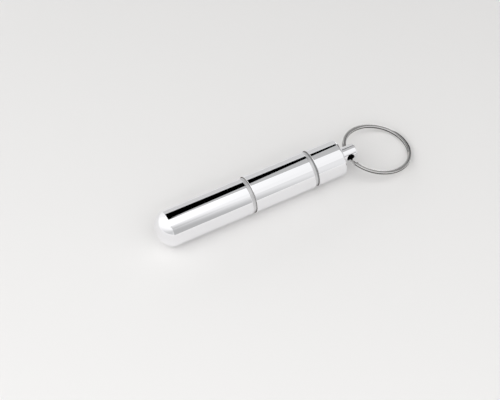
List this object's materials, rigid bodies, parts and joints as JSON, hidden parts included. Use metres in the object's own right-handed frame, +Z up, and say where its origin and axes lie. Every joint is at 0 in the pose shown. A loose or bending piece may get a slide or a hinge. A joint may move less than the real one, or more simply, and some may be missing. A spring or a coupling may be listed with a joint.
{
  "type": "toothpick holder keychain",
  "caption": "Slim polished metal capsule with a domed end that stores toothpicks; its short end cap unscrews and carries a drilled post with a split key ring.",
  "frame": {"origin": "on the table under the middle of the whole keychain, which lies on its side", "axes": "+X along the barrel from the dome to the key ring, +Z up, +Y to the far side as pictured"},
  "size_m": [0.102, 0.0258, 0.014],
  "materials": {
    "polished_chrome": "mirror polish",
    "satin_aluminium": "satin",
    "ring_steel": "polished",
    "seal_rubber": "matte",
    "pick_wood": "unfinished birch"
  },
  "bodies": {
    "barrel": {"dome_shell": "polished_chrome", "joining_collar": "satin_aluminium", "middle_tube": "polished_chrome", "screw_neck": "satin_aluminium", "toothpick_01": "pick_wood", "toothpick_02": "pick_wood", "toothpick_03": "pick_wood", "toothpick_04": "pick_wood", "toothpick_05": "pick_wood", "toothpick_06": "pick_wood", "toothpick_07": "pick_wood", "toothpick_08": "pick_wood", "toothpick_09": "pick_wood", "toothpick_10": "pick_wood"},
    "gasket": {"neck_gasket": "seal_rubber"},
    "cap": {"cap_shell": "polished_chrome", "ring_post": "polished_chrome", "post_washer": "ring_steel"},
    "key_ring": {"split_ring": "ring_steel"},
    "drawn_toothpick": {"toothpick_11": "pick_wood"}
  },
  "joints": [
    {"name": "cap_twist", "type": "hinge", "parent": "barrel", "child": "gasket", "pos_m": [0.011, 0.00102, 0.00698], "axis": [1, 0, 0], "range_deg": [0, 1800]},
    {"name": "cap_travel", "type": "slide", "parent": "gasket", "child": "cap", "axis": [1, 0, 0], "range_m": [0, 0.0125]},
    {"name": "toothpick_draw", "type": "slide", "parent": "barrel", "child": "drawn_toothpick", "axis": [1, 0, 0], "range_m": [0, 0.0075]},
    {"name": "ring_swing", "type": "hinge", "parent": "cap", "child": "key_ring", "pos_m": [0.02651, 0.00102, 0.00698], "axis": [0, 1, 0], "range_deg": [-169, 140]}
  ],
  "couplings": [
    {"joint": "cap_travel", "follows": "cap_twist", "m_per_rad": 0.00039788},
    {"joint": "toothpick_draw", "follows": "cap_twist", "m_per_rad": 0.00023873}
  ]
}
